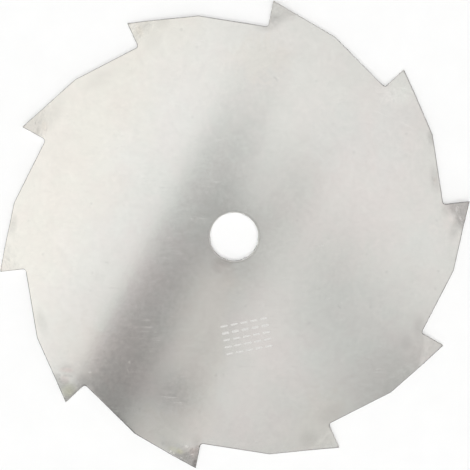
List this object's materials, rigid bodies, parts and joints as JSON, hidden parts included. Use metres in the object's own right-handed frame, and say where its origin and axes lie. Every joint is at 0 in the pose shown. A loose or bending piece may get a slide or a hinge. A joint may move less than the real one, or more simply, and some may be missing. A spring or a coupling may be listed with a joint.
{
  "type": "brush cutter blade",
  "caption": "Flat round bare-steel cutting blade for a brush cutter, with coarse radial teeth set up and down by turns, straight two-part tooth backs and a plain round centre bore.",
  "frame": {"origin": "on the bore's axis, in the plane that the blade lies on: the lowest corners of the teeth set downwards are at z = 0", "axes": "+Z along the bore's axis, out of the face that the picture shows; the first tooth tip is 8.6 degrees anticlockwise from +X"},
  "size_m": [0.247, 0.2464, 0.0044],
  "materials": {
    "blade_steel": "bright satin bare steel"
  },
  "bodies": {
    "root": {"blade": "blade_steel"}
  },
  "joints": []
}
